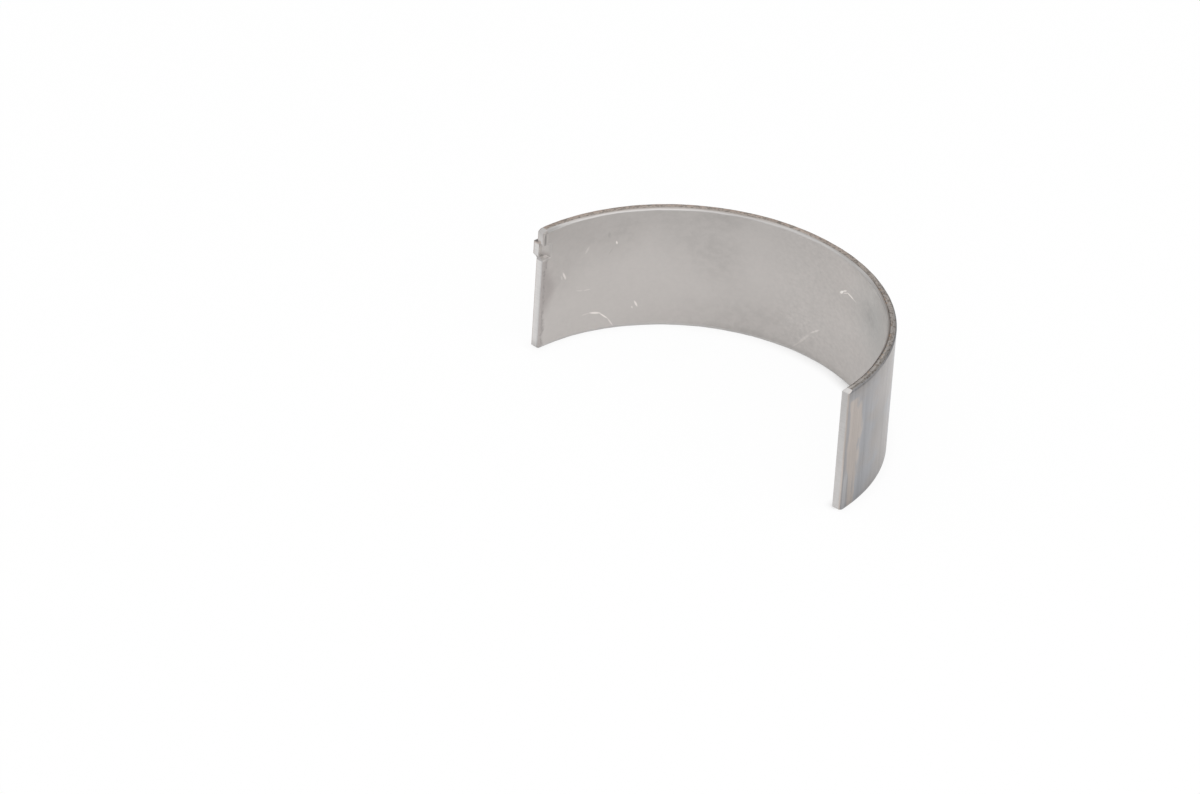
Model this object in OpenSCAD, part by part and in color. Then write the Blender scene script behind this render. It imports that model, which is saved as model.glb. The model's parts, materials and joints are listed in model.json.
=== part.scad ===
// Half shell of a split plain bearing, as used between an engine's connecting rod and crankpin.
// Z is the bore axis and +Y points to the crown of the arc. The origin is on the axis at mid-length.

/* [Shell] */
// Diameter of the housing bore that the shell is fitted into
housing_bore = 66.7; // [50:0.1:90]
// Wall thickness, steel back and lining together
wall = 1.56; // [1.3:0.02:2.4]
// Length along the bore axis
shell_length = 22.8; // [16:0.1:36]
// Angle of the arc while the shell lies free, under 180 because it springs open
free_arc = 176.6; // [170:0.1:180]

/* [Edges] */
// Chamfer between the bore and each end of the shell
bore_chamfer = 0.35; // [0.1:0.05:0.5]
// Chamfer between the back and each end of the shell
back_chamfer = 0.2; // [0.05:0.05:0.4]
// Reach along the arc of the cut across each corner of a parting face
corner_reach = 1; // [0.4:0.1:2]
// Depth along the bore axis of the same cut
corner_depth = 0.4; // [0.2:0.1:1.2]
// Reach along the arc of the broken edges of a parting face
break_reach = 0.4; // [0.1:0.05:0.8]
// Depth into the wall of the same broken edges
break_depth = 0.07; // [0.03:0.01:0.3]

/* [Locating lug] */
// Distance from the upper end of the shell to the square side of the lug
lug_inset = 2.75; // [1.5:0.05:6]
// Width of the lug's crest along the bore axis
lug_width = 2.5; // [1.5:0.05:4]
// Spread of the sloping side of the lug between its crest and its foot
lug_spread = 0.35; // [0.2:0.05:1.2]
// Height of the lug above the back
lug_height = 1; // [0.5:0.05:1.2]
// Reach of the lug's crest along the arc, from the parting face
lug_crest = 1.3; // [0.8:0.05:3]
// Reach of the slope that runs from the crest down to the back
lug_ramp = 1.2; // [0.6:0.05:3]
// Distance of the lug's end behind the parting face
lug_setback = 0.25; // [0.1:0.05:0.5]
// Rise, between bore and back, of the slanting upper edge of the setback
setback_rise = 0.75; // [0:0.05:1]
// Thinning of the wall where it is pressed out into the lug
lug_thinning = 0.35; // [0:0.05:0.5]
// Reach of the floor of the lug's pocket in the bore, from the parting face
pocket_floor = 1.1; // [0.6:0.05:2.5]
// Reach of the slope that runs from the pocket's floor up to the bore
pocket_ramp = 0.8; // [0.4:0.05:2]

/* [Hidden] */
$fn = 190;
lining_grey = [0.67, 0.65, 0.64];

// The arc keeps its length while it springs open, so its radius grows
back_r = housing_bore / 2 * 180 / free_arc;
bore_r = back_r - wall;
half_length = shell_length / 2;
// Angle of the parting face that carries the lug
lug_end_angle = 90 + free_arc / 2;
lug_top = half_length - lug_inset;
lug_bottom = lug_top - lug_width;
lug_foot = lug_bottom - lug_spread;
// The lug is the wall itself pushed outwards and thinned, so its pocket is deeper than the lug is high
pocket_depth = lug_height + lug_thinning;
// How far a cut runs past the faces that it opens
overcut = 1;

// Wall with its chamfers, turned through the free arc and centred on +Y
module arc_wall() {
    rotate([0, 0, 90 - free_arc / 2])
        rotate_extrude(angle = free_arc)
            polygon([
                [bore_r, bore_chamfer - half_length],
                [bore_r + bore_chamfer, -half_length],
                [back_r - back_chamfer, -half_length],
                [back_r, back_chamfer - half_length],
                [back_r, half_length - back_chamfer],
                [back_r - back_chamfer, half_length],
                [bore_r + bore_chamfer, half_length],
                [bore_r, half_length - bore_chamfer]
            ]);
}

// Frame of the parting face with the lug: X outwards along the face, Y out of the metal
module at_lug_end() {
    rotate([0, 0, lug_end_angle])
        children();
}

// The same frame at both parting faces, which mirror each other across the crown
module at_both_ends() {
    for (side = [0, 1])
        mirror([side, 0, 0])
            at_lug_end()
                children();
}

// Slanting cut across the upper corner of a parting face
module corner_cut() {
    slope = corner_depth / corner_reach;
    translate([bore_r - overcut, 0, 0])
        rotate([90, 0, 90])
            linear_extrude(wall + 2 * overcut)
                polygon([
                    [overcut, half_length - corner_depth - slope * overcut],
                    [overcut, half_length + slope * overcut],
                    [-corner_reach - overcut, half_length + slope * overcut]
                ]);
}

// Strip cut from one long edge of a parting face; outward is 1 at the back and -1 at the bore
module edge_break(edge_r, outward) {
    slope = break_depth / break_reach;
    translate([0, 0, -half_length - overcut])
        linear_extrude(shell_length + 2 * overcut)
            polygon([
                [edge_r - outward * (break_depth + slope * overcut), overcut],
                [edge_r + outward * slope * overcut, -break_reach - overcut],
                [edge_r + outward * slope * overcut, overcut]
            ]);
}

// Form that the punch leaves on a surface: a crest that follows the arc from end_y, a ramp along
// the arc behind it, a square upper side and a sloping lower side, all carried on down to base_r
module punched_form(surface_r, rise, base_r, end_y, crest_reach, ramp_reach) {
    crest_r = surface_r + rise;
    form_reach = crest_reach + ramp_reach;
    ramp_top = sqrt(pow(crest_r, 2) - pow(crest_reach, 2));
    ramp_foot = sqrt(pow(surface_r, 2) - pow(form_reach, 2));
    ramp_slope = (ramp_top - ramp_foot) / ramp_reach;
    side_slope = lug_spread / rise;
    intersection() {
        translate([0, 0, -half_length])
            cylinder(r = crest_r, h = half_length + lug_top);
        translate([0, 0, -half_length])
            linear_extrude(half_length + lug_top)
                polygon([
                    [base_r, end_y],
                    [crest_r + overcut, end_y],
                    [crest_r + overcut, (crest_r + overcut - ramp_top) / ramp_slope - crest_reach],
                    [base_r, (base_r - ramp_foot) / ramp_slope - form_reach]
                ]);
        translate([0, overcut + end_y, 0])
            rotate([90, 0, 0])
                linear_extrude(form_reach + wall + 4 * overcut)
                    polygon([
                        [base_r, lug_foot - side_slope * (surface_r - base_r)],
                        [crest_r + overcut, lug_bottom + side_slope * overcut],
                        [crest_r + overcut, half_length],
                        [base_r, half_length]
                    ]);
    }
}

// Lug on the back, joined to the wall from its mid-thickness outwards
module locating_lug() {
    punched_form(back_r, lug_height, back_r - wall / 2, -lug_setback, lug_crest, lug_ramp);
}

// Pocket in the bore that the lug's metal was pushed out of
module lug_pocket() {
    punched_form(bore_r, pocket_depth, bore_r - overcut, overcut, pocket_floor, pocket_ramp);
}

// Shallow cut that keeps the end of the lug clear of the facing shell; its upper edge slants up to the back
module lug_end_relief() {
    slant = setback_rise / wall;
    crest_r = back_r + lug_height;
    translate([0, overcut, 0])
        rotate([90, 0, 0])
            linear_extrude(overcut + lug_setback)
                polygon([
                    [bore_r - overcut, lug_foot],
                    [crest_r + overcut, lug_foot],
                    [crest_r + overcut, lug_top],
                    [back_r + overcut, lug_top + slant * (wall + overcut)],
                    [bore_r, lug_top],
                    [bore_r - overcut, lug_top]
                ]);
}

module bearing_shell() {
    color(lining_grey)
        difference() {
            union() {
                difference() {
                    arc_wall();
                    at_both_ends() {
                        corner_cut();
                        mirror([0, 0, 1])
                            corner_cut();
                        edge_break(back_r, 1);
                        edge_break(bore_r, -1);
                    }
                }
                at_lug_end()
                    locating_lug();
            }
            at_lug_end() {
                lug_pocket();
                lug_end_relief();
            }
        }
}

bearing_shell();
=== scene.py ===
import json
import math

import bpy
import numpy as np
from mathutils import Matrix, Vector


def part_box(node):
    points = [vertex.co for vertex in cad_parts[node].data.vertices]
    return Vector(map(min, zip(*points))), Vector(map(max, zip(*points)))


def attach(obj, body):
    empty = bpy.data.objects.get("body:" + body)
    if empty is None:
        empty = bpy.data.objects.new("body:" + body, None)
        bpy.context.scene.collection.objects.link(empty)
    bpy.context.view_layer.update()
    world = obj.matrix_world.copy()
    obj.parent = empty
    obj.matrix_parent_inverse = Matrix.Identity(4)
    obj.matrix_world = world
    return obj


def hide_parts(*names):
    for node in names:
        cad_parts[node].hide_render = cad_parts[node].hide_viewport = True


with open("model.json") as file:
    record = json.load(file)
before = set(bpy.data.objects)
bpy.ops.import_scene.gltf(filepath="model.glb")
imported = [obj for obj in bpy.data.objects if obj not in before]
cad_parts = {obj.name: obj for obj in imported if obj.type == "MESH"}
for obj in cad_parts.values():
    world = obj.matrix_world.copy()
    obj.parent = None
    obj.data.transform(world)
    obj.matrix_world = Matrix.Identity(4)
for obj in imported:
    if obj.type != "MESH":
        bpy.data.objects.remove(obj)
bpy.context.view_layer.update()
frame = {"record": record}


# Bearing shell: half of a plain bearing, a thin steel strip with a soft lining bonded to its inside.
# It is blanked and bent to the arc, then the lug is pressed out near one end, the edges are chamfered,
# the parting faces are broached and the bore is machined. Its sizes here are in millimetres.
MM = 0.001
mounts = {mount["name"]: mount for mount in frame["record"]["mounts"]}
low_corner, high_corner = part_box("bearing_shell")
bore_radius = mounts["journal"]["dims"]["r_mm"]
back_radius = mounts["housing_seat"]["dims"]["r_mm"]
middle_radius = (bore_radius + back_radius) / 2
half_length = high_corner.z / MM
plain_face = mounts["parting_face_plain_end"]["pos_m"]
end_angle = math.atan2(plain_face[1], plain_face[0])
end_degrees = math.degrees(end_angle)
arc_length = (math.pi - 2 * end_angle) * middle_radius

bore_chamfer = 0.35
back_chamfer = 0.2
corner_reach = 1.0
corner_depth = 0.4
break_reach = 0.4
break_depth = 0.07
corner_blend = 0.12
edge_round = 0.05
crease_round = 0.035
least_chamfer = 0.06
flare_full = 2.0
flare_end = 6.0
bore_chamfer_waver = 0.16
back_chamfer_waver = 0.2
rim_waver = 0.012

lug_top = 8.65
lug_bottom = 6.15
lug_foot = 5.8
lug_height = 1.0
lug_crest = 1.3
lug_ramp = 1.2
lug_round = 0.16
lug_setback = 0.25
setback_fade = 0.7
back_setback_rise = 0.75
bore_setback_rise = 0.08
pocket_depth = 1.35
pocket_floor = 1.1
pocket_ramp = 0.8
pocket_round = 0.2
side_draft = 0.06
side_round = 0.06
foot_round = 0.08


def spread(start, stop, step):
    """Even places from start up to, and without, stop."""
    count = max(1, round((stop - start) / step))
    return [start + (stop - start) * i / count for i in range(count)]


def rounding_rows():
    """(reach, inset) of the rows that round the edge of a parting face."""
    turns = [math.radians(t) for t in (90, 60, 30, 0)]
    return [(edge_round * (1 - math.sin(t)), edge_round * (1 - math.cos(t))) for t in turns]


def end_rows(bands):
    """Rows from a parting face to the crown, each (reach, inset), at the steps that the bands give."""
    places = [p for start, stop, step in bands for p in spread(start, stop, step)]
    return rounding_rows() + [(p, 0.0) for p in places]


half_arc = arc_length / 2
plain_bands = [(0.1, 0.5, 0.05), (0.5, 0.9, 0.1), (0.9, 1.1, 0.04), (1.1, 3, 0.3), (3, half_arc, 0.9)]
lug_bands = [(0.1, 0.5, 0.05), (0.5, 1.0, 0.07), (1.0, 2.9, 0.07), (2.9, 5, 0.25), (5, half_arc, 0.9)]
lug_rows = [(arc_length - far, deep) for far, deep in reversed(end_rows(lug_bands))]
rows = end_rows(plain_bands) + [(half_arc, 0.0)] + lug_rows
along = np.array([row[0] for row in rows])
inset = np.array([row[1] for row in rows])
lug_reach = arc_length - along
reach = np.minimum(along, lug_reach)

side_margin = 0.08
side_limit = half_length - corner_depth - edge_round - least_chamfer - side_margin
side_bands = [
    (-side_limit, 4.6, 1.1),
    (4.6, 5.5, 0.18),
    (5.5, 6.8, 0.07),
    (6.8, 8.4, 0.2),
    (8.4, 8.8, 0.025),
    (8.8, side_limit, 0.2),
]
side_lines = np.array([z for band in side_bands for z in spread(*band)] + [side_limit])


def waver(place, phase):
    """Slow uneven drift along the arc, from -1 to 1, as hand-set cutters leave it."""
    waves = [(19.0, 0.4), (7.7, 0.3), (3.3, 0.2), (1.6, 0.1)]
    drift = 0
    for i, (length, weight) in enumerate(waves, 1):
        drift = drift + weight * np.sin(2 * np.pi * place / length + phase * i)
    return drift


def soft_least(a, b, blend):
    """The lesser of a and b, with a round of the given size where they cross."""
    share = np.clip(0.5 + 0.5 * (b - a) / blend, 0, 1)
    return b * (1 - share) + a * share - blend * share * (1 - share)


def pressed_form(rise, crest, ramp, round_size):
    """Rise of the pressed lug over rows and side lines: square above, sloping below, ramped behind."""
    run_out = rise * (crest + ramp - lug_reach)[:, None] / ramp
    lower_side = rise * (side_lines - lug_foot)[None, :] / (lug_bottom - lug_foot)
    upper_side = rise * (lug_top - side_lines)[None, :] / side_draft
    form = soft_least(run_out, np.full_like(run_out, rise), round_size)
    form = soft_least(form, lower_side, round_size)
    form = soft_least(form, upper_side, side_round)
    return -soft_least(-form, np.zeros_like(form), foot_round)


def fade(value, start, stop):
    """Smooth step of value from 0 at start to 1 at stop."""
    share = np.clip((value - start) / (stop - start), 0, 1)
    return share * share * (3 - 2 * share)


above_foot = fade(side_lines, lug_foot - 0.1, lug_foot + 0.15)
at_lug_end = (lug_reach < half_arc)[:, None]
lug_zone = at_lug_end * (above_foot * (1 - fade(side_lines, lug_top - 0.05, lug_top + 0.03)))[None, :]
breaking = break_depth * np.clip(1 - reach / break_reach, 0, 1)
kept_break = breaking[:, None] * (1 - lug_zone)
pocket = pressed_form(pocket_depth, pocket_floor, pocket_ramp, pocket_round)
lug = pressed_form(lug_height, lug_crest, lug_ramp, lug_round)
bore_side = bore_radius + inset[:, None] + kept_break + pocket
back_side = back_radius - inset[:, None] - kept_break + lug


def set_back(rise):
    """How far each point lies behind the parting face: full at the lug, tapering off above it."""
    taper = above_foot * np.clip((lug_top + rise - side_lines) / rise, 0, 1)
    return lug_setback * taper[None, :] * np.clip(1 - lug_reach / setback_fade, 0, 1)[:, None]


bore_along = along[:, None] - set_back(bore_setback_rise)
back_along = along[:, None] - set_back(back_setback_rise)


def edge_profile(phase, flare):
    """Radius and half-length of the points round one long edge, from the bore over the rim to the back.

    The flare is the share by which the bore's chamfer widens towards the lug's corner."""
    corner_cut = corner_depth * (reach / corner_reach - 1)
    drop = -soft_least(corner_cut, np.zeros_like(reach), corner_blend) + inset
    flaring = flare * (1 - fade(lug_reach, flare_full, flare_end))
    inner_width = 1 + flaring + bore_chamfer_waver * waver(along, phase)
    outer_width = 1 + back_chamfer_waver * waver(along, phase + 2)
    inner_cut = np.maximum(bore_chamfer * inner_width - drop, least_chamfer)
    outer_cut = np.maximum(back_chamfer * outer_width - drop, least_chamfer)
    top = half_length - drop - rim_waver * (1 + waver(along, phase + 4))
    inner = bore_radius + inset + breaking
    outer = back_radius - inset - breaking
    creases = [
        (inner, top - inner_cut),
        (inner + inner_cut, top),
        (outer - outer_cut, top),
        (outer, top - outer_cut),
    ]
    slant = math.sqrt(0.5)
    slopes = [(0, 1), (slant, slant), (1, 0), (slant, -slant), (0, -1)]
    points = []
    for (radius, height), before, after in zip(creases, slopes, slopes[1:]):
        first = (radius - crease_round * before[0], height - crease_round * before[1])
        last = (radius + crease_round * after[0], height + crease_round * after[1])
        middle = tuple(0.25 * f + 0.5 * c + 0.25 * e for f, c, e in zip(first, (radius, height), last))
        points += [first, middle, last]
    start, stop = points[5], points[6]
    flat = [tuple(a + (b - a) * t for a, b in zip(start, stop)) for t in (0.25, 0.5, 0.75)]
    points = points[:6] + flat + points[6:]
    return np.stack([p[0] for p in points], 1), np.stack([p[1] for p in points], 1)


upper_radius, upper_height = edge_profile(phase=0.7, flare=0.35)
lower_radius, lower_height = edge_profile(phase=3.1, flare=0.0)
line_heights = np.broadcast_to(side_lines, bore_side.shape)
edge_along = np.broadcast_to(along[:, None], upper_radius.shape)
loop_radius = np.hstack([bore_side, upper_radius, back_side[:, ::-1], lower_radius[:, ::-1]])
loop_height = np.hstack([line_heights, upper_height, line_heights[:, ::-1], -lower_height[:, ::-1]])
loop_along = np.hstack([bore_along, edge_along, back_along[:, ::-1], edge_along])

row_count, loop_count = loop_radius.shape
line_count = len(side_lines)
edge_count = upper_radius.shape[1]
column_margin = 0.02
LINING, CHAMFER, RIM, BACK, PARTING = range(5)
edge_finish = [CHAMFER] * 5 + [RIM] * 5 + [BACK] * 4
loop_finish = [LINING] * line_count + edge_finish
loop_finish += [BACK] * (line_count + 1) + edge_finish[::-1] + [CHAMFER]

points = [np.stack([loop_radius.ravel(), loop_height.ravel(), loop_along.ravel()], 1)]
faces = []
finishes = []
for i in range(row_count - 1):
    for j in range(loop_count):
        k = (j + 1) % loop_count
        here = i * loop_count
        beyond = here + loop_count
        faces.append((here + j, here + k, beyond + k, beyond + j))
        on_corner = loop_finish[j] in (CHAMFER, RIM) and max(reach[i], reach[i + 1]) < corner_reach
        finishes.append(PARTING if on_corner else loop_finish[j])


def close_end(row, facing_lug):
    """Fills the parting face inside the loop of an end row with a grid from bore to back.

    The faces are turned so that none in the grid's corners is split into a flat triangle."""
    offset = sum(len(p) for p in points)
    first = row * loop_count
    bore_ids = [first + k for k in range(line_count)]
    upper_ids = [first + line_count + c for c in range(edge_count)]
    back_ids = [first + line_count + edge_count + line_count - 1 - k for k in range(line_count)]
    lower_ids = [first + loop_count - 1 - c for c in range(edge_count)]
    upper = upper_radius[row]
    shares = (upper - upper[0] + column_margin) / (upper[-1] - upper[0] + 2 * column_margin)
    grid = [[bore_ids[0]] + lower_ids + [back_ids[0]]]
    inner = []
    for k in range(1, line_count - 1):
        spans = bore_side[row, k] + shares * (back_side[row, k] - bore_side[row, k])
        lines = bore_along[row, k] + shares * (back_along[row, k] - bore_along[row, k])
        ids = [offset + len(inner) + c for c in range(edge_count)]
        inner += [(radius, side_lines[k], line) for radius, line in zip(spans, lines)]
        grid.append([bore_ids[k]] + ids + [back_ids[k]])
    grid.append([bore_ids[-1]] + upper_ids + [back_ids[-1]])
    points.append(np.array(inner))
    for k, (below, above) in enumerate(zip(grid, grid[1:])):
        for c in range(edge_count + 1):
            face = [below[c], below[c + 1], above[c + 1], above[c]]
            if (k < line_count // 2) == (c > edge_count // 2):
                face = face[1:] + face[:1]
            faces.append(face[:1] + face[:0:-1] if facing_lug else face)
            finishes.append(PARTING)


close_end(0, facing_lug=False)
close_end(row_count - 1, facing_lug=True)
places = np.vstack(points)
angles = end_angle + places[:, 2] / middle_radius
corners = np.stack([places[:, 0] * np.cos(angles), places[:, 0] * np.sin(angles), places[:, 1]], 1) * MM
shell_mesh = bpy.data.meshes.new("bearing_shell")
shell_mesh.from_pydata(corners.tolist(), [], faces)
shell_mesh.polygons.foreach_set("material_index", finishes)
shell_mesh.polygons.foreach_set("use_smooth", [True] * len(faces))
shell = bpy.data.objects.new("shell", shell_mesh)
bpy.context.scene.collection.objects.link(shell)
shading = shell.modifiers.new("even_shading", "WEIGHTED_NORMAL")
shading.weight = 80


# Lining of the bore: a soft bearing alloy bonded to the steel and bored to size, satin and warm pale grey.
# It carries cloudy stains, fine dark specks, the pale scratches of handling, and a ragged worn strip
# beside the parting face at the lug. Painted shade darkens its top and bottom, and its pocket has
# painted light and shade.
lining_grey = (0.587, 0.559, 0.54)
cool_grey = (0.575, 0.572, 0.559)
stained_grey = (0.44, 0.405, 0.395)
# A scratch or a line runs from one place to another, each (degrees, height), with a width and a strength.
# The last three are painted shade and a painted highlight at the lower side of the pocket.
scratches = [
    ((170.1, 2.0), (168.8, 0.4), 0.24, 0.4),
    ((170.6, 1.4), (170.1, 0.5), 0.2, 0.17),
    ((161.2, 5.7), (162.5, 4.3), 0.26, 0.15),
    ((165.0, -2.4), (162.4, -2.8), 0.13, 0.13),
    ((162.4, -2.8), (159.8, -2.8), 0.14, 0.18),
    ((152.6, 5.7), (152.3, 5.1), 0.18, 0.55),
    ((162.6, -7.6), (159.7, -7.5), 0.15, 0.13),
    ((160.0, -7.45), (156.1, -7.9), 0.24, 0.5),
    ((156.7, -7.8), (153.6, -9.3), 0.17, 0.5),
    ((153.9, -9.1), (151.9, -10.8), 0.16, 0.32),
    ((145.9, -6.3), (144.8, -7.5), 0.21, 0.45),
    ((146.5, -7.3), (146.3, -7.8), 0.14, 0.32),
    ((79.9, 4.4), (78.7, 5.0), 0.3, 0.75),
    ((79.1, 4.9), (76.9, 5.7), 0.19, 0.55),
    ((78.6, 4.7), (76.3, 5.4), 0.13, 0.4),
    ((76.9, 5.4), (73.3, 5.1), 0.22, 0.6),
    ((73.8, 5.1), (71.8, 5.0), 0.17, 0.2),
    ((63.2, 10.95), (57.6, 10.9), 0.12, 0.14),
    ((62.2, 10.63), (59.0, 10.57), 0.12, 0.13),
    ((90.9, -6.5), (86.8, -4.7), 0.2, 0.24),
    ((94.8, -9.4), (90.7, -6.6), 0.3, 0.14),
    ((96.9, -10.6), (94.1, -9.0), 0.16, 0.12),
    ((153.4, 4.5), (154.9, 3.2), 0.14, -0.09),
    ((155.0, 7.7), (154.9, 6.6), 0.28, -0.09),
    ((177.75, 8.2), (177.75, 11.2), 0.26, -0.34),
    ((176.85, 8.8), (176.85, 10.9), 0.22, 0.09),
    ((175.05, 6.4), (175.05, 8.6), 0.28, -0.07),
    ((177.4, -10.5), (177.4, 5.4), 0.2, -0.06),
    # Painted light at the pocket's lower side: a shade line in its crease, a highlight on its slope, shade
    # below.
    ((178.2, 6.14), (175.8, 6.14), 0.1, -0.34),
    ((177.1, 5.98), (175.4, 5.98), 0.09, 0.34),
    ((177.2, 5.75), (175.3, 5.75), 0.14, -0.1),
]
# A stain or a pale patch has its middle in degrees and height, a half width, a half height and a strength.
stains = [
    (158, 6.5, 9, 6, 0.1),
    (149, 7.5, 4, 5, 0.08),
    (127, 5, 9, 8, 0.13),
    (109, -6, 9, 6, 0.09),
    (63.8, 5.4, 3.6, 2.7, 0.2),
    (58, 3, 4, 6, 0.06),
    # Painted shade: darker towards the bottom of the bore's middle, mottled like the stains.
    (112, -11.5, 26, 7, 0.16),
    (121, 10.8, 8, 3.6, 0.14),
    (171, 1.5, 6, 6, 0.1),
    (120, 1, 6, 6, 0.1),
    (140, 10, 6, 4, 0.1),
]
pale_patches = [
    # Painted light on the floor of the pocket, which its recess shades.
    (177.6, 7.3, 1.3, 1.5, 0.22),
    (74, 9, 9, 6, 0.08),
    (74, -0.5, 9, 5, 0.06),
    (63, 9, 10, 4.5, 0.07),
]


class Finish:
    """A finish laid out on the unrolled shell: arc and height in millimetres, turn in degrees."""

    def __init__(self, name):
        self.material = bpy.data.materials.new(name)
        self.material.use_nodes = True
        self.nodes = self.material.node_tree.nodes
        self.links = self.material.node_tree.links
        self.shader = self.nodes["Principled BSDF"]
        spot = self.nodes.new("ShaderNodeTexCoord").outputs["Object"]
        split = self.nodes.new("ShaderNodeSeparateXYZ")
        self.links.new(self.scaled(spot, 1 / MM), split.inputs[0])
        x, y, self.height = split.outputs
        angle = self.number("ARCTAN2", y, x)
        self.turn = self.number("DEGREES", angle)
        square = self.number("MULTIPLY_ADD", x, x, self.number("MULTIPLY", y, y))
        self.radius = self.number("SQRT", square)
        arc = self.number("MULTIPLY", angle, middle_radius)
        self.sheet = self.join(arc, self.height, 0.0)
        self.place = self.join(arc, self.height, self.radius)

    def feed(self, socket, value):
        """Links another node's output to a socket, or sets the socket to a number or colour."""
        if isinstance(value, bpy.types.NodeSocket):
            self.links.new(value, socket)
        elif socket.type == "RGBA":
            socket.default_value = (*value, 1.0)
        else:
            socket.default_value = value

    def join(self, *values):
        node = self.nodes.new("ShaderNodeCombineXYZ")
        for socket, value in zip(node.inputs, values):
            self.feed(socket, value)
        return node.outputs[0]

    def number(self, operation, *values):
        node = self.nodes.new("ShaderNodeMath")
        node.operation = operation
        for socket, value in zip(node.inputs, values):
            self.feed(socket, value)
        return node.outputs[0]

    def scaled(self, vector, amount):
        """A vector times a number, or a colour made lighter or darker by a tone about 1."""
        node = self.nodes.new("ShaderNodeVectorMath")
        node.operation = "SCALE"
        self.feed(node.inputs[0], vector)
        self.feed(node.inputs["Scale"], amount)
        return node.outputs[0]

    def step(self, value, start, stop):
        """Smooth step of value from 0 at start to 1 at stop."""
        node = self.nodes.new("ShaderNodeMapRange")
        node.interpolation_type = "SMOOTHSTEP"
        self.feed(node.inputs["Value"], value)
        node.inputs["From Min"].default_value = start
        node.inputs["From Max"].default_value = stop
        return node.outputs["Result"]

    def around(self, start, stop):
        """Smooth step along the arc, in degrees."""
        return self.step(self.turn, start, stop)

    def upward(self, start, stop):
        """Smooth step in height, in millimetres."""
        return self.step(self.height, start, stop)

    def outward(self, start, stop):
        """Smooth step in radius, in millimetres."""
        return self.step(self.radius, start, stop)

    def stretch(self, start, full, fading, stop):
        """1 on a stretch of the arc from full to fading, in degrees, with soft ends."""
        return self.times(self.around(start, full), self.around(stop, fading))

    def mapped(self, place, centre, tilt, size):
        """The place as seen from a spot that is moved, tilted and sized."""
        node = self.nodes.new("ShaderNodeMapping")
        node.vector_type = "TEXTURE"
        self.links.new(place, node.inputs["Vector"])
        node.inputs["Location"].default_value = centre
        node.inputs["Rotation"].default_value = (0.0, 0.0, tilt)
        node.inputs["Scale"].default_value = size
        return node.outputs[0]

    def grain(self, arc, height, radius=1.0, detail=3.0, seed=0.0):
        """Noise from 0 to 1 whose spots have these sizes in millimetres."""
        place = self.mapped(self.place, (seed, seed, seed), 0.0, (arc, height, radius))
        node = self.nodes.new("ShaderNodeTexNoise")
        self.links.new(place, node.inputs["Vector"])
        node.inputs["Scale"].default_value = 1.0
        node.inputs["Detail"].default_value = detail
        return node.outputs["Fac"]

    def swing(self, noise, amount, about=0.0):
        """Noise, which mostly keeps from 0.25 to 0.75, brought to swing by the amount about a number."""
        return self.number("MULTIPLY_ADD", noise, 4 * amount, about - 2 * amount)

    def total(self, *values):
        result = values[0]
        for value in values[1:]:
            result = self.number("ADD", result, value)
        return result

    def times(self, *values):
        result = values[0]
        for value in values[1:]:
            result = self.number("MULTIPLY", result, value)
        return result

    def outside(self, pattern):
        """1 where the pattern is 0, and 0 where it is 1."""
        return self.number("SUBTRACT", 1.0, pattern)

    def graded(self, share, first, last):
        """A number that goes from first to last as the share goes from 0 to 1."""
        return self.number("MULTIPLY_ADD", share, last - first, first)

    def changed(self, value, pattern, amount):
        """The value, changed by the amount where the pattern is 1."""
        return self.number("MULTIPLY_ADD", pattern, amount, value)

    def blend(self, share, first, second):
        """A colour between two others."""
        node = self.nodes.new("ShaderNodeMix")
        node.data_type = "RGBA"
        self.feed(node.inputs["Factor"], share)
        self.feed(node.inputs[6], first)
        self.feed(node.inputs[7], second)
        return node.outputs[2]

    def oval(self, degrees, height, half_wide, half_tall, tilt=0.0):
        """1 in the middle of an oval on the unrolled shell, falling to 0 at its edge."""
        centre = (math.radians(degrees) * middle_radius, height, 0.0)
        place = self.mapped(self.sheet, centre, tilt, (half_wide, half_tall, 1.0))
        node = self.nodes.new("ShaderNodeTexGradient")
        node.gradient_type = "SPHERICAL"
        self.links.new(place, node.inputs["Vector"])
        return node.outputs["Fac"]

    def stroke(self, start, stop, width):
        """1 along a scratch or a line between two places, each (degrees, height), thinning out to its
        ends.
        """
        run = math.radians(stop[0] - start[0]) * middle_radius
        rise = stop[1] - start[1]
        middle = [(a + b) / 2 for a, b in zip(start, stop)]
        half_long = math.hypot(run, rise) / 2 + width / 2
        mark = self.oval(*middle, half_long, width, math.atan2(rise, run))
        return self.number("MINIMUM", self.number("MULTIPLY", mark, 2.0), 1.0)

    def relief(self, height, depth):
        """Bump from a height pattern, depth in millimetres."""
        node = self.nodes.new("ShaderNodeBump")
        node.inputs["Distance"].default_value = depth * MM
        self.feed(node.inputs["Height"], height)
        self.links.new(node.outputs["Normal"], self.shader.inputs["Normal"])

    def coat(self, colour, roughness, metal=1.0):
        """Gives the shader its colour, roughness and share of metal, and the shell its next material."""
        self.feed(self.shader.inputs["Base Color"], colour)
        self.feed(self.shader.inputs["Roughness"], roughness)
        self.shader.inputs["Metallic"].default_value = metal
        shell_mesh.materials.append(self.material)


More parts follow.
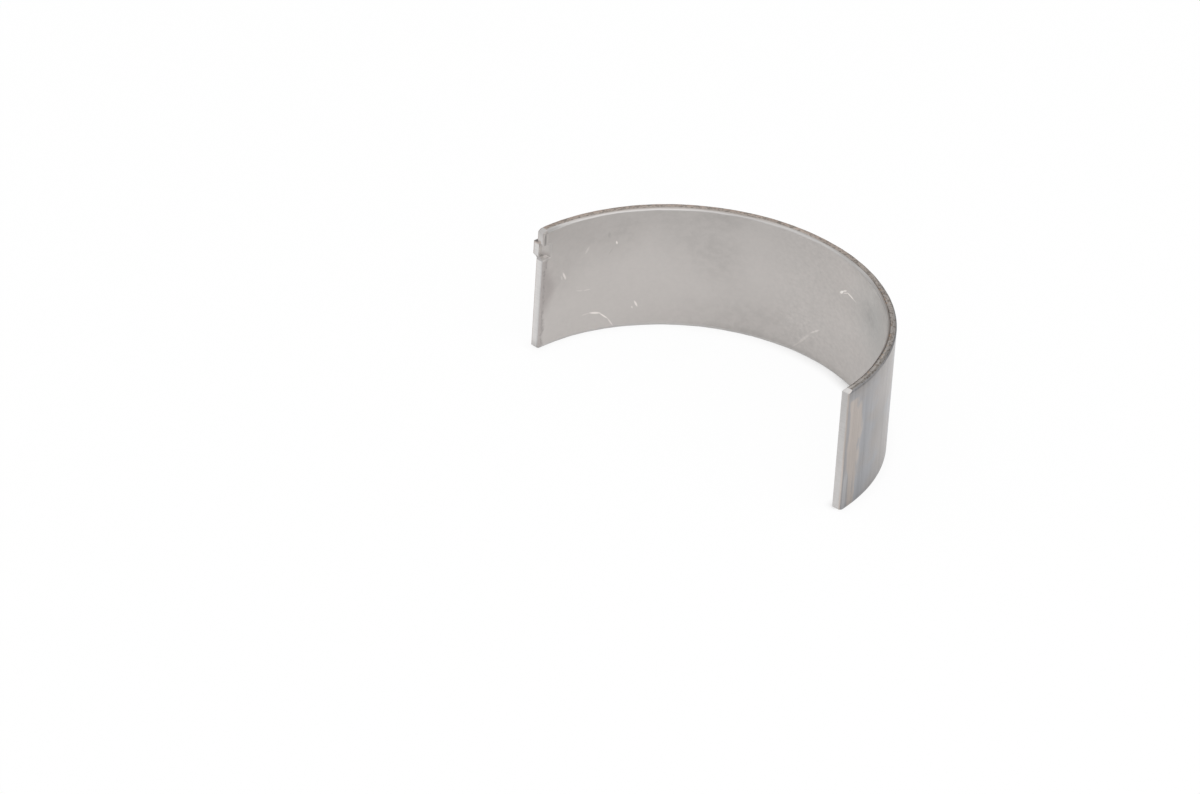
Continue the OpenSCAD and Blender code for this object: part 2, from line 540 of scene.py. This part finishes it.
lining = Finish("bored_lining")
cloud = lining.grain(11, 7, detail=4)
speckle = lining.grain(0.7, 0.55, detail=3, seed=7)
smear = lining.grain(1.3, 1.1, detail=5, seed=21)
blot = lining.grain(2.2, 2.6, detail=5, seed=33)
tone = lining.total(lining.swing(cloud, 0.03, 1.0), lining.swing(speckle, 0.03))
peppered = lining.total(lining.around(110.0, 92.0), lining.oval(95, -5.5, 7, 5))
tone = lining.changed(tone, peppered, lining.swing(speckle, 0.045))
mottle = lining.graded(lining.step(smear, 0.36, 0.64), 0.42, 0.92)
for degrees, height, wide, tall, strength in stains:
    spot = lining.times(lining.oval(degrees, height, wide, tall), mottle)
    tone = lining.changed(tone, spot, -strength)
for start, stop, width, strength in scratches:
    tone = lining.changed(tone, lining.stroke(start, stop, width), strength)
for degrees, height, wide, tall, strength in pale_patches:
    tone = lining.changed(tone, lining.oval(degrees, height, wide, tall), strength)
# Painted shade: the top darkens past 70 degrees, the bottom past 95, and the lowest millimetre below 140.
painted_top_shade = lining.times(lining.upward(0.0, 12.0), lining.around(70.0, 105.0))
tone = lining.changed(tone, painted_top_shade, -0.1)
painted_bottom_shade = lining.times(lining.upward(0.0, -10.0), lining.around(95.0, 130.0))
tone = lining.changed(tone, painted_bottom_shade, -0.025)
painted_low_edge_shade = lining.times(lining.upward(-9.7, -10.8), lining.around(140.0, 112.0))
tone = lining.changed(tone, painted_low_edge_shade, -0.1)
below_pocket = lining.upward(lug_foot + 0.1, lug_foot - 0.4)
end_stain = lining.total(lining.oval(178.3, -0.4, 3.9, 5.6), lining.swing(blot, 0.1))
end_stain = lining.times(lining.step(end_stain, 0.0, 0.55), 0.75)
degrees_left = lining.number("SUBTRACT", 180 - end_degrees, lining.turn)
from_face = lining.times(degrees_left, math.radians(bore_radius))
worn_strip = lining.step(lining.total(from_face, lining.swing(smear, 0.35)), 1.3, 0.7)
worn_strip = lining.times(worn_strip, lining.swing(speckle, 0.25, 0.64))
lug_end_shade = lining.times(lining.number("MAXIMUM", end_stain, worn_strip), below_pocket)
ragged_edge = lining.number("SUBTRACT", lining.total(from_face, lining.swing(smear, 0.5)), 0.75)
ragged_line = lining.times(
    lining.step(lining.number("ABSOLUTE", ragged_edge), 0.26, 0.08),
    lining.step(speckle, 0.42, 0.56),
    below_pocket,
)
tone = lining.changed(tone, ragged_line, -0.14)
colour = lining.blend(lining.oval(58, 6, 11, 10), lining_grey, cool_grey)
colour = lining.blend(lug_end_shade, colour, stained_grey)
roughness = lining.total(lining.swing(cloud, 0.05, 0.5), lining.swing(speckle, 0.04))
lining.coat(lining.scaled(colour, tone), roughness, metal=0.7)
turning = lining.grain(30, 0.16, detail=2, seed=3)
lining.relief(lining.changed(speckle, turning, 0.6), 0.006)


# Chamfer at the bore: a bright cut through the lining, uneven in width where the cutter ran out.
# It is duller beside the lug, and brown and dark at the plain end. Painted shade darkens part of its
# lower edge, where it mirrors the floor's shadow.
# A worn brown line follows its outer side.
chamfer = Finish("lining_chamfer")
cut_grey = (0.53, 0.514, 0.502)
worn_brown = (0.53, 0.45, 0.4)
cut_streak = chamfer.grain(5, 0.25, 0.25, detail=3)
lower_edge = chamfer.upward(1.0, -1.0)
upper_edge = chamfer.outside(lower_edge)
dark_plain_end = chamfer.times(upper_edge, chamfer.around(32.0, 22.0), 0.4)
dullness_and_painted_shade = chamfer.total(
    chamfer.times(upper_edge, chamfer.around(166.0, 177.0), 0.2),
    # Painted shade on the lower edge, where it mirrors the floor's shadow.
    chamfer.times(lower_edge, chamfer.around(98.0, 86.0), 0.1),
    dark_plain_end,
)
past_bend = chamfer.times(upper_edge, chamfer.around(36.0, 44.0))
line_depth = chamfer.total(
    chamfer.times(chamfer.around(66.0, 54.0), chamfer.graded(past_bend, 0.55, 0.33)),
    chamfer.times(chamfer.stretch(98.0, 114.0, 160.0, 172.0), upper_edge, 0.24),
)
outer_line = chamfer.times(chamfer.outward(bore_radius + 0.12, bore_radius + 0.28), line_depth)
inner_half = chamfer.outward(bore_radius + 0.3, bore_radius + 0.14)
bright_run = chamfer.times(
    chamfer.stretch(72.0, 80.0, 94.0, 106.0),
    chamfer.graded(inner_half, -0.12, 0.14),
)
soft_run = chamfer.times(chamfer.stretch(108.0, 118.0, 148.0, 162.0), -0.07)
tone = chamfer.number("SUBTRACT", chamfer.swing(cut_streak, 0.12, 1.0), dullness_and_painted_shade)
tone = chamfer.changed(tone, upper_edge, chamfer.total(bright_run, soft_run))
tone = chamfer.number("SUBTRACT", tone, outer_line)
brown_share = chamfer.total(chamfer.times(outer_line, 1.6), chamfer.times(dark_plain_end, 1.8))
colour = chamfer.blend(brown_share, cut_grey, worn_brown)
chamfer.coat(chamfer.scaled(colour, tone), chamfer.swing(cut_streak, 0.08, 0.38), metal=0.75)
chamfer.relief(cut_streak, 0.01)


# Rim: the long cut edges of the strip, brown-grey steel, finely pitted and scored along the arc.
# Its creases are worn dark, and rust specks lie beside the inner one. At the plain end a lighter middle
# shows between the two dark lines.
rim = Finish("rim_steel")
light_rim = (0.45, 0.394, 0.352)
grey_rim = (0.44, 0.411, 0.386)
dark_rim = (0.265, 0.234, 0.21)
brown_rim = (0.43, 0.345, 0.297)
rust_rim = (0.47, 0.33, 0.23)
rim_streak = rim.grain(3, 1, 0.12, detail=4)
rim_pits = rim.grain(0.45, 1, 0.3, detail=4, seed=11)
rim_patch = rim.grain(6, 1, 1.5, detail=3, seed=2)
colour = rim.blend(rim.around(90.0, 40.0), light_rim, grey_rim)
outer_part = rim.outward(bore_radius + 0.75, bore_radius + 1.05)
colour = rim.blend(rim.times(outer_part, rim.around(65.0, 100.0)), colour, brown_rim)
colour = rim.blend(rim.step(rim_pits, 0.465, 0.6), colour, dark_rim)
rust_specks = rim.times(
    rim.step(rim.grain(0.7, 1, 0.35, detail=3, seed=19), 0.54, 0.62),
    rim.outward(bore_radius + 0.95, bore_radius + 0.5),
    rim.stretch(8.0, 16.0, 58.0, 70.0),
)
colour = rim.blend(rim.times(rust_specks, 0.8), colour, rust_rim)
inner_crease = rim.outward(bore_radius + bore_chamfer + 0.3, bore_radius + bore_chamfer + 0.1)
outer_crease = rim.outward(back_radius - back_chamfer - 0.14, back_radius - back_chamfer)
worn_bend = rim.stretch(18.0, 34.0, 42.0, 92.0)
plain_end = rim.around(20.0, 13.0)
inner_wear = rim.times(inner_crease, rim.graded(worn_bend, -0.1, -0.6))
outer_wear = rim.times(outer_crease, rim.graded(plain_end, -0.3, 0.04))
tone = rim.total(rim.swing(rim_streak, 0.16, 1.0), rim.swing(rim_patch, 0.12), inner_wear, outer_wear)
bright_part = rim.stretch(75.0, 85.0, 166.0, 178.0)
tone = rim.changed(tone, bright_part, 0.14)
dark_stretch = rim.stretch(33.0, 40.0, 48.0, 57.0)
tone = rim.changed(tone, dark_stretch, -0.12)
dim_end = rim.around(45.0, 30.0)
tone = rim.changed(tone, dim_end, -0.18)
light_middle = rim.times(
    rim.outward(bore_radius + 0.38, bore_radius + 0.5),
    rim.outward(bore_radius + 0.98, bore_radius + 0.82),
    rim.around(38.0, 30.0),
)
tone = rim.changed(tone, light_middle, 0.22)
dim_outside = rim.times(outer_part, rim.around(34.0, 28.0))
tone = rim.changed(tone, dim_outside, -0.08)
second_line = rim.times(
    rim.outward(bore_radius + 0.92, bore_radius + 1.05),
    rim.outward(bore_radius + 1.25, bore_radius + 1.12),
    plain_end,
)
tone = rim.changed(tone, second_line, -0.14)
rim.coat(rim.scaled(colour, tone), rim.swing(rim_streak, 0.1, 0.42))
rim.relief(rim_streak, 0.012)


# Back: bare steel that seats in the housing, brushed along the axis and tinted by heat. Beside the parting
# faces it is straw-coloured, with a blue band low down. Its crown is dark brown with blue and rust tints.
# The upper side of the lug is dark where the punch sheared it. A painted highlight runs along its edges
# at the parting faces, and a painted sheen lies where it turns edge-on to the camera.
back = Finish("steel_back")
blue_grey = (0.352, 0.355, 0.372)
purple_brown = (0.357, 0.337, 0.328)
straw = (0.462, 0.417, 0.387)
dark_edge = (0.37, 0.36, 0.365)
light_blue = (0.46, 0.457, 0.466)
sheared_brown = (0.17, 0.138, 0.128)
chamfer_grey = (0.26, 0.257, 0.262)
crown_brown = (0.245, 0.218, 0.207)
crown_blue = (0.245, 0.256, 0.268)
crown_rust = (0.29, 0.212, 0.165)
crown_tan = (0.34, 0.305, 0.265)
brush = back.grain(0.22, 14, detail=3)
broad_brush = back.grain(1.1, 20, detail=3, seed=5)
tint = back.grain(11, 7, detail=4, seed=9)
bronze = back.grain(1.6, 4.5, detail=5, seed=15)
from_plain_end = back.number("SUBTRACT", back.turn, end_degrees)
from_lug_end = back.number("SUBTRACT", 180 - end_degrees, back.turn)
from_end = back.times(back.number("MINIMUM", from_plain_end, from_lug_end), math.radians(back_radius))
colour = back.blend(back.step(tint, 0.4, 0.6), blue_grey, purple_brown)
crown = back.stretch(44.0, 76.0, 138.0, 174.0)
blue_patch = back.changed(back.grain(6, 6, detail=4, seed=27), bronze, 0.5)
upper_blue = back.times(back.step(blue_patch, 0.62, 0.95), back.upward(-4.0, 4.0))
crown_colour = back.blend(upper_blue, crown_brown, crown_blue)
hatch = back.step(back.grain(0.17, 2.4, detail=2, seed=41), 0.46, 0.62)
tan_sides = back.total(back.oval(62, -10, 6, 6), back.oval(138, -10, 9, 8))
crown_colour = back.blend(back.times(tan_sides, hatch, 0.5), crown_colour, crown_tan)
tongues = back.total(back.oval(80, -13, 5, 10), back.oval(97, -13, 4, 13), back.oval(121, -13, 6, 9))
rust = back.times(back.step(back.total(tongues, back.swing(bronze, 0.16)), 0.02, 0.6), 0.75)
crown_colour = back.blend(rust, crown_colour, crown_rust)
colour = back.blend(crown, colour, crown_colour)
belly = back.times(back.upward(-8.0, -1.0), back.upward(10.5, 2.5))
straw_reach = back.changed(back.total(from_end, back.swing(bronze, 1.1)), belly, -1.6)
straw_band = back.times(back.step(straw_reach, 3.5, 2.5), back.upward(9.6, 9.0))
colour = back.blend(straw_band, colour, straw)
edge_reach = back.changed(from_end, back.upward(-3.0, -7.0), -1.1)
edge_line = back.step(back.total(edge_reach, back.swing(bronze, 0.35)), 1.05, 0.6)
colour = back.blend(edge_line, colour, dark_edge)
blue_band = back.times(
    back.step(from_end, 0.35, 0.6),
    back.step(back.total(from_end, back.swing(bronze, 0.25)), 1.6, 1.1),
    back.upward(-3.0, -6.0),
)
colour = back.blend(back.times(blue_band, 0.85), colour, light_blue)
# Painted highlight in the straw colour along the edge at each parting face.
painted_lip_highlight = back.step(from_end, 0.3, 0.12)
colour = back.blend(painted_lip_highlight, colour, straw)
lug_side = back.times(
    back.upward(lug_top - 0.14, lug_top - 0.04),
    back.outward(back_radius + 0.2, back_radius + 0.4),
)
colour = back.blend(back.times(lug_side, 0.7), colour, sheared_brown)
on_chamfer = back.times(
    back.outward(back_radius - 0.02, back_radius - 0.06),
    back.step(back.number("ABSOLUTE", back.height), half_length - 0.6, half_length - 0.35),
)
colour = back.blend(back.times(on_chamfer, 0.9), colour, chamfer_grey)
broad_share = back.graded(crown, 1.0, 0.35)
tone = back.total(back.swing(brush, 0.12, 1.0), back.times(back.swing(broad_brush, 0.1), broad_share))
upper_corner = back.times(back.upward(half_length - 2.2, half_length - 0.4), back.around(22.0, 8.0))
tone = back.changed(tone, upper_corner, -0.14)
lower_part = back.upward(6.5 - half_length, 0.4 - half_length)
tone = back.changed(tone, lower_part, -0.12)
lower_side = back.upward(1.6 - half_length, 0.5 - half_length)
tone = back.changed(tone, lower_side, -0.07)
dark_bend = back.times(on_chamfer, back.stretch(27.0, 35.0, 52.0, 62.0))
tone = back.changed(tone, dark_bend, -0.35)
light_chamfer = back.times(on_chamfer, back.around(25.0, 20.0))
tone = back.changed(tone, light_chamfer, 0.38)
under_chamfer = back.times(
    back.upward(half_length - 0.6, half_length - 0.4),
    back.around(20.0, 12.0),
    back.outside(on_chamfer),
)
tone = back.changed(tone, under_chamfer, -0.22)
# More painted highlight on that edge, low down.
low_painted_lip_highlight = back.times(painted_lip_highlight, back.upward(0.0, -4.0))
tone = back.changed(tone, low_painted_lip_highlight, 0.27)
brushed_patches = [(30, 0, 11, 16, 0.13), (20, 6.5, 6, 5, 0.1), (22, 0.5, 5, 4, -0.09)]
for degrees, height, wide, tall, strength in brushed_patches:
    tone = back.changed(tone, back.oval(degrees, height, wide, tall), strength)
# Painted sheen from 22 to 55 degrees, where the back turns edge-on to the camera.
painted_edge_on_sheen = back.stretch(22.0, 34.0, 42.0, 55.0)
tone = back.changed(tone, painted_edge_on_sheen, 0.15)
back.coat(back.scaled(colour, tone), back.swing(brush, 0.1, 0.34))
back.relief(brush, 0.008)


# Parting faces: the two ends of the strip, broached flat and bright, with fine lines across the wall.
# The lining's layer is duller, the edge at the back and the tip of the lug are browned, and the corner
# above the lug is bruised where the lug was sheared out. The face at the plain end is darkened by
# painted shade, most towards the top, and has a painted highlight on its top corner.
parting = Finish("broached_face")
bright_steel = (0.68, 0.664, 0.655)
face_brown = (0.47, 0.405, 0.37)
face_straw = (0.66, 0.61, 0.575)
scuffed_brown = (0.36, 0.325, 0.3)
broach = parting.grain(1, 0.18, 6, detail=3)
face_bloom = parting.grain(1, 2.2, 0.6, detail=4, seed=4)
at_plain_end = parting.around(91.0, 89.0)
at_lug = parting.outside(at_plain_end)
plain_line = parting.outward(back_radius - 0.4, back_radius - 0.2)
lug_line = parting.outward(back_radius - 0.25, back_radius - 0.1)
back_line = parting.total(parting.times(plain_line, at_plain_end, 0.7), parting.times(lug_line, at_lug))
lug_span = parting.times(
    parting.upward(lug_foot - 0.2, lug_foot),
    parting.upward(lug_top + 0.3, lug_top),
    at_lug,
)
line_colour = parting.blend(at_plain_end, face_brown, face_straw)
line_share = parting.times(back_line, parting.outside(lug_span))
colour = parting.blend(line_share, bright_steel, line_colour)
bruise = parting.times(
    parting.upward(lug_top + 0.8, lug_top + 0.5),
    parting.upward(lug_top - 0.5, lug_top - 0.1),
    parting.outward(bore_radius + 0.5, bore_radius + 1.0),
    at_lug,
)
colour = parting.blend(bruise, colour, face_brown)
lug_radius = back_radius + lug_height
lug_tip = parting.outward(lug_radius - 0.3, lug_radius - 0.1)
colour = parting.blend(parting.times(lug_tip, 0.6), colour, face_brown)
above_lug = parting.times(parting.upward(lug_top - 0.3, lug_top + 0.2), at_lug)
inner_scuff = parting.outward(bore_radius + 0.5, bore_radius + 0.15)
scuff = parting.times(above_lug, parting.graded(inner_scuff, 0.2, 0.75))
colour = parting.blend(scuff, colour, scuffed_brown)
foot_crease = parting.times(
    parting.upward(lug_foot - 0.25, lug_foot - 0.05),
    parting.upward(lug_foot + 0.4, lug_foot + 0.2),
    at_lug,
)
colour = parting.blend(parting.times(foot_crease, 0.3), colour, sheared_brown)
tone = parting.total(parting.swing(broach, 0.06, 1.0), parting.swing(face_bloom, 0.04))
# Painted shade on the face at the plain end, deepest at the top.
painted_plain_end_shade = parting.graded(parting.upward(-8.0, 11.0), -0.115, -0.235)
tone = parting.changed(tone, at_plain_end, painted_plain_end_shade)
below_lug = parting.times(parting.upward(lug_foot, lug_foot - 0.4), at_lug)
lining_layer = parting.outward(bore_radius + 0.55, bore_radius + 0.15)
steel_layer = parting.outward(bore_radius + 0.7, bore_radius + 1.15)
layer_shade = parting.changed(parting.times(steel_layer, 0.05), lining_layer, -0.2)
tone = parting.changed(tone, below_lug, layer_shade)
dull_corners = parting.total(
    parting.times(parting.upward(-9.2, -10.8), 0.18),
    parting.times(parting.upward(9.8, 10.8), 0.1),
)
tone = parting.number("SUBTRACT", tone, parting.times(dull_corners, at_lug))
# Painted highlight on the top corner of the face at the plain end.
painted_corner_highlight = parting.times(parting.upward(half_length - 0.5, half_length - 0.25), at_plain_end)
tone = parting.changed(tone, painted_corner_highlight, 0.26)
parting.coat(parting.scaled(colour, tone), parting.swing(broach, 0.08, 0.4))
parting.relief(broach, 0.008)

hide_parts("bearing_shell")
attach(shell, "root")


# Floor: a wide sheet of white card under the shell, which keeps its soft shadow.
# Its glow is cut back beside the shell's wall, and most inside the arc beside the plain end,
# so that the cast shadow shows darker there: a painted shadow.
floor_reach = 2.0
seen_glow = 0.95
mirrored_glow = 0.45
shadow_reach = 2.2
bpy.ops.mesh.primitive_plane_add(size=2 * floor_reach, location=(0, 0, low_corner.z))
floor = bpy.context.object
floor.name = "floor"
card = Finish("white_card")
card.shader.inputs["Base Color"].default_value = (0.92, 0.92, 0.92, 1.0)
card.shader.inputs["Roughness"].default_value = 0.9
card.shader.inputs["Specular IOR Level"].default_value = 0.0
# Painted shadow: a mask beside the wall, deeper inside the arc, that cuts back the glow.
from_middle = card.number("ABSOLUTE", card.number("SUBTRACT", card.radius, middle_radius))
from_wall = card.number("SUBTRACT", from_middle, (back_radius - bore_radius) / 2)
beside_wall = card.times(card.step(from_wall, shadow_reach, -0.3), card.around(0.0, 4.0))
inside_arc = card.times(card.around(118.0, 84.0), card.outward(middle_radius, bore_radius))
inside_depth = card.graded(card.around(82.0, 72.0), 0.25, 0.55)
shadow = card.times(beside_wall, card.changed(0.08, inside_arc, inside_depth))
rays = card.nodes.new("ShaderNodeLightPath").outputs
seen = card.times(rays["Is Camera Ray"], card.number("SUBTRACT", seen_glow, shadow))
bounced = card.number("MAXIMUM", rays["Is Glossy Ray"], rays["Is Transmission Ray"])
mirrored = card.times(bounced, mirrored_glow)
glow = card.nodes.new("ShaderNodeEmission")
lit = card.nodes.new("ShaderNodeMixShader")
card.feed(lit.inputs[0], card.total(seen, mirrored))
card.feed(lit.inputs[1], card.shader.outputs[0])
card.feed(lit.inputs[2], glow.outputs[0])
card.feed(card.nodes["Material Output"].inputs["Surface"], lit.outputs[0])
floor.data.materials.append(card.material)


# Studio light: a white room with a bright ceiling and dimmer walls.
# Two broad softboxes hang in front of the shell and to its right, and face its middle.
horizon_level = 0.5
ceiling_level = 1.0
world = bpy.data.worlds.new("studio")
bpy.context.scene.world = world
world.use_nodes = True
sky_nodes = world.node_tree.nodes
sky_links = world.node_tree.links
look = sky_nodes.new("ShaderNodeTexCoord")
look_split = sky_nodes.new("ShaderNodeSeparateXYZ")
sky_links.new(look.outputs["Generated"], look_split.inputs[0])
level = sky_nodes.new("ShaderNodeMapRange")
level.inputs["To Min"].default_value = horizon_level
level.inputs["To Max"].default_value = ceiling_level
sky_links.new(look_split.outputs["Z"], level.inputs["Value"])
sky_links.new(level.outputs["Result"], sky_nodes["Background"].inputs["Strength"])
sky_nodes["Background"].inputs["Color"].default_value = (1.0, 1.0, 1.0, 1.0)


def softbox(name, place, size, power):
    """A square lamp at a place, facing the shell's middle."""
    lamp = bpy.data.lights.new(name, "AREA")
    lamp.size = size
    lamp.energy = power
    box = bpy.data.objects.new(name, lamp)
    box.location = place
    box.rotation_euler = (-Vector(place)).to_track_quat("-Z", "Y").to_euler()
    bpy.context.scene.collection.objects.link(box)


softbox("front_softbox", (0.12, -0.32, 0.75), 1.0, 0.85)
softbox("right_softbox", (0.58, -0.06, 0.58), 1.0, 2.15)


# Camera: a long lens more than a metre away, looking down at the open side of the arc.
# It is turned and rolled as the shell was photographed, and aims at a place on the floor.
view_turn = math.radians(40.526)
view_height = math.radians(32.12)
view_roll = math.radians(3.881)
view_distance = 1.3385
aim = Vector((-0.01559, -0.00201, low_corner.z))
lens = bpy.data.cameras.new("long_lens")
lens.sensor_width = 36.0
lens.lens = 244.68
lens.clip_start = 0.05
backward = Vector((
    math.sin(view_turn) * math.cos(view_height),
    -math.cos(view_turn) * math.cos(view_height),
    math.sin(view_height),
))
sideways = Vector((0, 0, 1)).cross(backward).normalized()
upright = backward.cross(sideways)
camera_x = sideways * math.cos(view_roll) + upright * math.sin(view_roll)
camera_y = backward.cross(camera_x)
camera = bpy.data.objects.new("camera", lens)
turned = Matrix((camera_x, camera_y, backward)).transposed().to_4x4()
camera.matrix_world = Matrix.Translation(aim + backward * view_distance) @ turned
bpy.context.scene.collection.objects.link(camera)
bpy.context.scene.camera = camera
bpy.context.scene.view_settings.view_transform = "Standard"
